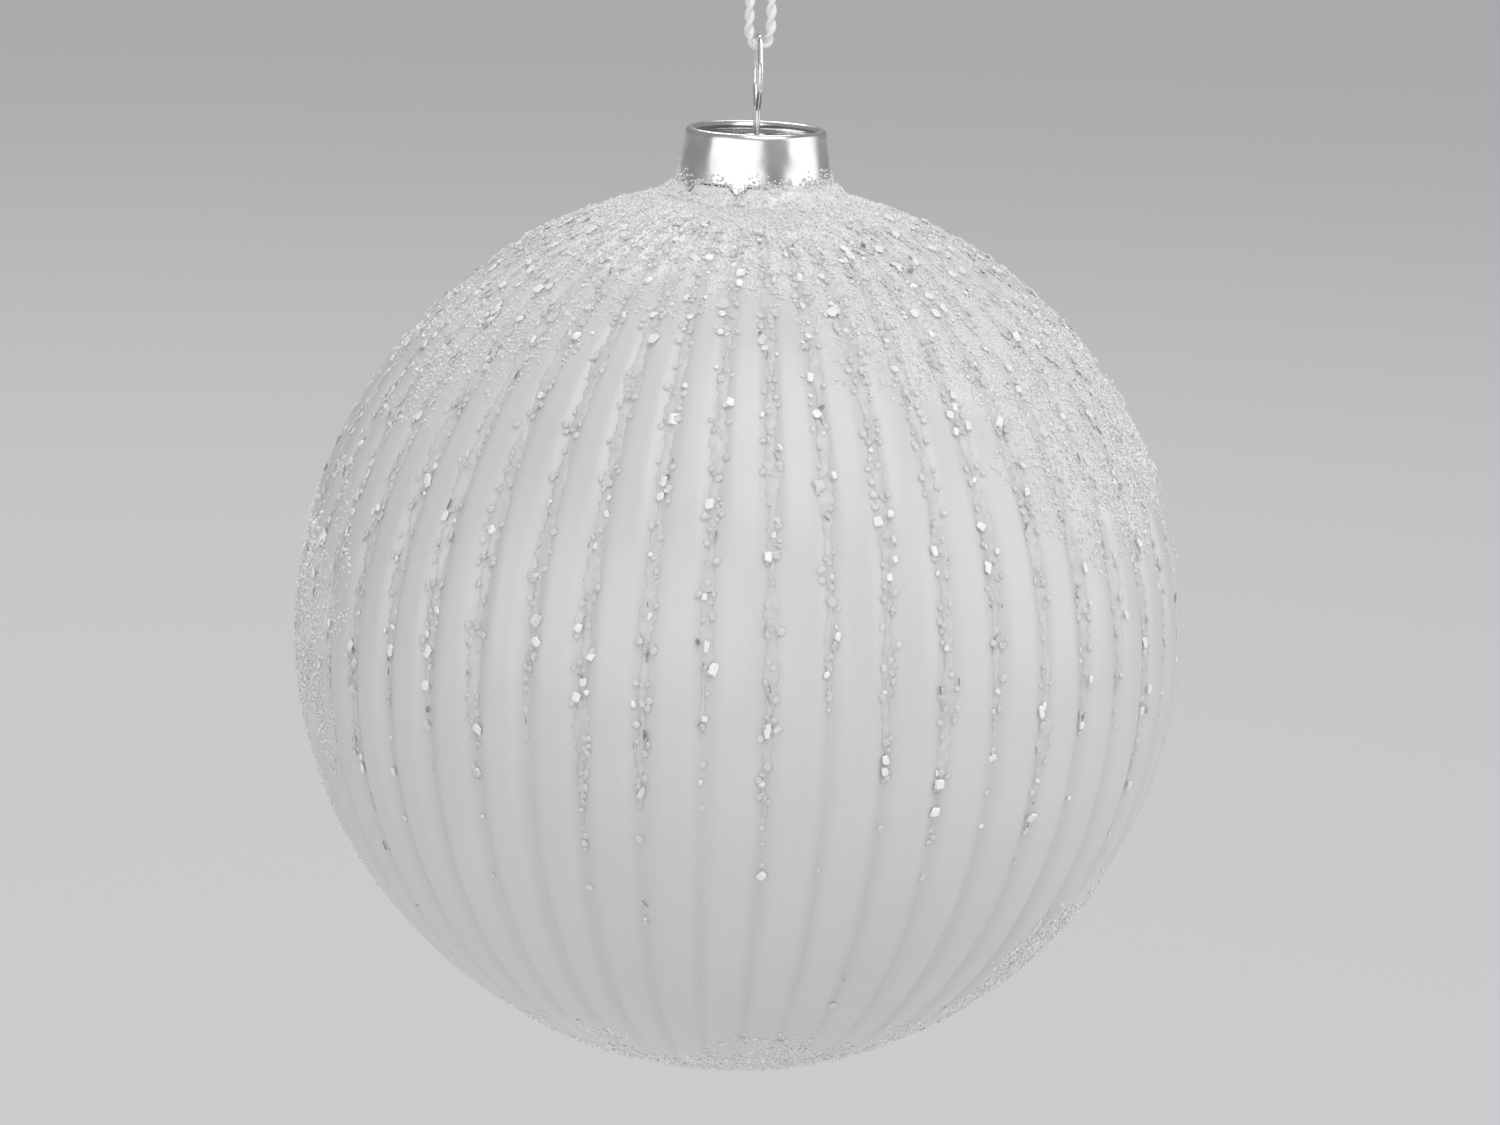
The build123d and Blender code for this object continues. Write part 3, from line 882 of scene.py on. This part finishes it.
def sideways(path, hint):
    """Two directions square to a path, carried along it without a twist."""
    ahead = np.gradient(path, axis=0)
    ahead /= np.linalg.norm(ahead, axis=1, keepdims=True)
    side = np.zeros_like(ahead)
    side[0] = np.cross(ahead[0], hint)
    side[0] /= np.linalg.norm(side[0])
    for i in range(1, len(path)):
        side[i] = side[i - 1] - ahead[i] * (side[i - 1] @ ahead[i])
        side[i] /= np.linalg.norm(side[i])
    return side, np.cross(ahead, side)


def circles(one, other, sides):
    """A ring of unit steps at each place along a path, from two directions square to it."""
    around = np.arange(sides) * 2 * math.pi / sides
    return one[:, None] * np.cos(around)[None, :, None] + other[:, None] * np.sin(around)[None, :, None]


def rounded(points, radii):
    """A line through these corners, with an arc of a given radius at each."""
    points = [np.array(p, dtype=float) for p in points]
    line = [points[0]]
    for before, corner, after, radius in zip(points, points[1:], points[2:], radii):
        back, on = before - corner, after - corner
        back, on = back / np.linalg.norm(back), on / np.linalg.norm(on)
        half = math.acos(back @ on) / 2
        centre = corner + (back + on) / np.linalg.norm(back + on) * radius / math.sin(half)
        first = corner + back * radius / math.tan(half) - centre
        last = corner + on * radius / math.tan(half) - centre
        for share in np.linspace(0, 1, 13):
            spoke = first * (1 - share) + last * share
            line.append(centre + spoke / np.linalg.norm(spoke) * radius)
    return np.array(line + [points[-1]])


def make_wire(material):
    """The hanger: one wire with a pointed loop over the cap and two legs sprung apart in the neck."""
    apex = (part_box("hanger_wire")[1][2] - CENTRE[2]) / MM - WIRE_RADIUS
    reach = NECK_RADIUS - NECK_WALL - WIRE_RADIUS - 0.3
    leg = 0.8
    right = [(1.15, apex), (2.45, 63.2), (2.45, 60.9), (leg, 58.6), (leg, 55.2), (2.6, 54.6)]
    right += [(reach, 50.5), (reach, 44.8), (reach - 1.3, 43.2)]
    radii = [1.0, 3.0, 2.0, 0.9, 0.45, 0.8, 2.5, 1.0]
    corners = [(0, -y, z) for y, z in right[::-1]] + [(0, y, z) for y, z in right]
    path, _ = evenly(rounded(corners, radii[::-1] + radii), WIRE_STEP)
    across, along = math.cos(WIRE_TURN), math.sin(WIRE_TURN)
    path = np.stack([-path[:, 1] * along, path[:, 1] * across, path[:, 2]], axis=-1)
    skin = circles(*sideways(path, (across, along, 0.0)), WIRE_SIDES) * WIRE_RADIUS
    points = np.concatenate([(path[:, None] + skin).reshape(-1, 3), path[[0, -1]]])
    pole = len(path) * WIRE_SIDES
    fans = [fan(pole, 0, WIRE_SIDES, True), fan(pole + 1, pole - WIRE_SIDES, WIRE_SIDES, False)]
    faces = np.concatenate([triangles(grid_faces(len(path), WIRE_SIDES))] + fans)
    wire = new_piece("sprung_wire", to_frame(points), faces, "hanger", [material], smooth=True)
    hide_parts("hanger_wire")


def twisted(line, diameter, lay):
    """Plies wound round a line. Returns points, quads and the line they follow."""
    path, along = evenly(line, diameter / 7)
    side, other = sideways(path, (0.0, 1.0, 0.0))
    ply = diameter * PLY_RADIUS
    points, faces = [], []
    for strand in range(CORD_PLIES):
        turn = 2 * math.pi * (along / lay + strand / CORD_PLIES)
        uneven = 1 + 0.06 * np.sin(along / lay * 2.3 + strand * 2)
        out = side * np.cos(turn)[:, None] + other * np.sin(turn)[:, None]
        round_it = side * -np.sin(turn)[:, None] + other * np.cos(turn)[:, None]
        centre = path + out * (diameter / 2 - ply)
        radius = (ply * uneven)[:, None, None]
        ring = centre[:, None] + circles(out, round_it, PLY_SIDES) * radius
        first = sum(len(p) for p in points)
        points.append(ring.reshape(-1, 3))
        faces.append(grid_faces(len(path), PLY_SIDES, first))
        for row, flip in ((0, 1), (len(points[-1]) - PLY_SIDES, -1)):
            ends = first + row + np.arange(PLY_SIDES)[::flip]
            quads = [(ends[0], ends[i], ends[i + 1], ends[i + 2]) for i in range(1, PLY_SIDES - 2, 2)]
            faces.append(np.array(quads))
    return np.concatenate(points), np.concatenate(faces), path


def make_cord(material):
    line = smooth_line("cord_route", cord_route())
    points, faces, path = twisted(line, CORD_DIAMETER, CORD_LAY)
    mesh = bpy.data.meshes.new("cord")
    mesh.from_pydata(points.tolist(), [], faces.tolist())
    mesh.materials.append(material)
    mesh.polygons.foreach_set("use_smooth", np.ones(len(mesh.polygons), dtype=bool))
    cord = bpy.data.objects.new("cord", mesh)
    bpy.context.collection.objects.link(cord)
    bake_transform(cord)
    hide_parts("cord_bight", "cord_strand_left", "cord_strand_right", "cord_tails")
    knot = make_knot(material)


def make_knot(material):
    """An overhand knot pulled tight round the two strands: a doubled cord that follows a trefoil."""
    low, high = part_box("cord_knot")
    middle = (low[2] + high[2]) / 2 / MM
    t = np.linspace(0, 2 * math.pi, 160)
    points, faces = [], []
    for shift in (-KNOT_SPACING / 2, KNOT_SPACING / 2):
        x = (np.sin(t) + 2 * np.sin(2 * t)) * KNOT_LOBE
        y = (np.cos(t) - 2 * np.cos(2 * t)) * KNOT_LOBE
        z = -np.sin(3 * t) * KNOT_RISE + shift + middle
        line = np.stack([x, y, z], axis=-1) * MM
        p, f, _ = twisted(line, CORD_DIAMETER * KNOT_TIGHTNESS, CORD_LAY)
        faces.append(f + sum(len(q) for q in points))
        points.append(p)
    points, faces = np.concatenate(points), np.concatenate(faces)
    knot = new_piece("knot", points, faces, "cord", [material], smooth=True)
    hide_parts("cord_knot")
    return knot


def main():
    make_camera()
    cord_yarn = yarn()
    make_cord(cord_yarn)
    make_lights()
    make_floor()
    make_glass(opal_glass())
    ice = [
        clear_resin(),
        chip("clear_chip", (0.86, 0.865, 0.86), (0.97, 0.97, 0.965), 0.55, 0.2),
        # white flakes: painted glints
        chip("painted_glint_chip", (0.93, 0.93, 0.93), (1.0, 1.0, 1.0), 1.0, 0.10),
        # dark slivers: painted shade in the gaps between chips
        chip("shade_sliver_chip", (0.22, 0.23, 0.23), (0.5, 0.51, 0.51), 0.6, 0.08),
    ]
    for index, node in enumerate(ICE_NODES):
        ice_line(index, node, ice)
    frost = [
        sugar_grains("frost_grains", (0.87, 0.87, 0.87), (0.96, 0.96, 0.96)),
        sugar_grains("bright_grains", (0.90, 0.90, 0.90), (1.0, 1.0, 1.0)),
    ]
    frost_piece("crown_grains", ((45, 90), (0, 360)), 40000, frost, "crown_frost", 1)
    frost_piece("right_grains", ((-62, 45), (-90, 90)), 125000, frost, "side_frost_right", 2)
    frost_piece("left_grains", ((-62, 45), (90, 270)), 125000, frost, "side_frost_left", 3)
    frost_piece("base_grains", ((-90, -62), (0, 360)), 26000, frost, "base_frost", 4)
    bright = plated_metal("plated_metal", (0.78, 0.79, 0.80), (0.87, 0.875, 0.88), 0.18, 0.32)
    # darker plating for the cap's well: painted shade in the recess
    well_shade_metal = plated_metal("painted_shade_plating", (0.26, 0.265, 0.27), (0.42, 0.425, 0.43), 0.14, 0.3)
    make_cap(bright, well_shade_metal)
    cap_frost(frost)
    make_wire(drawn_wire())


main()
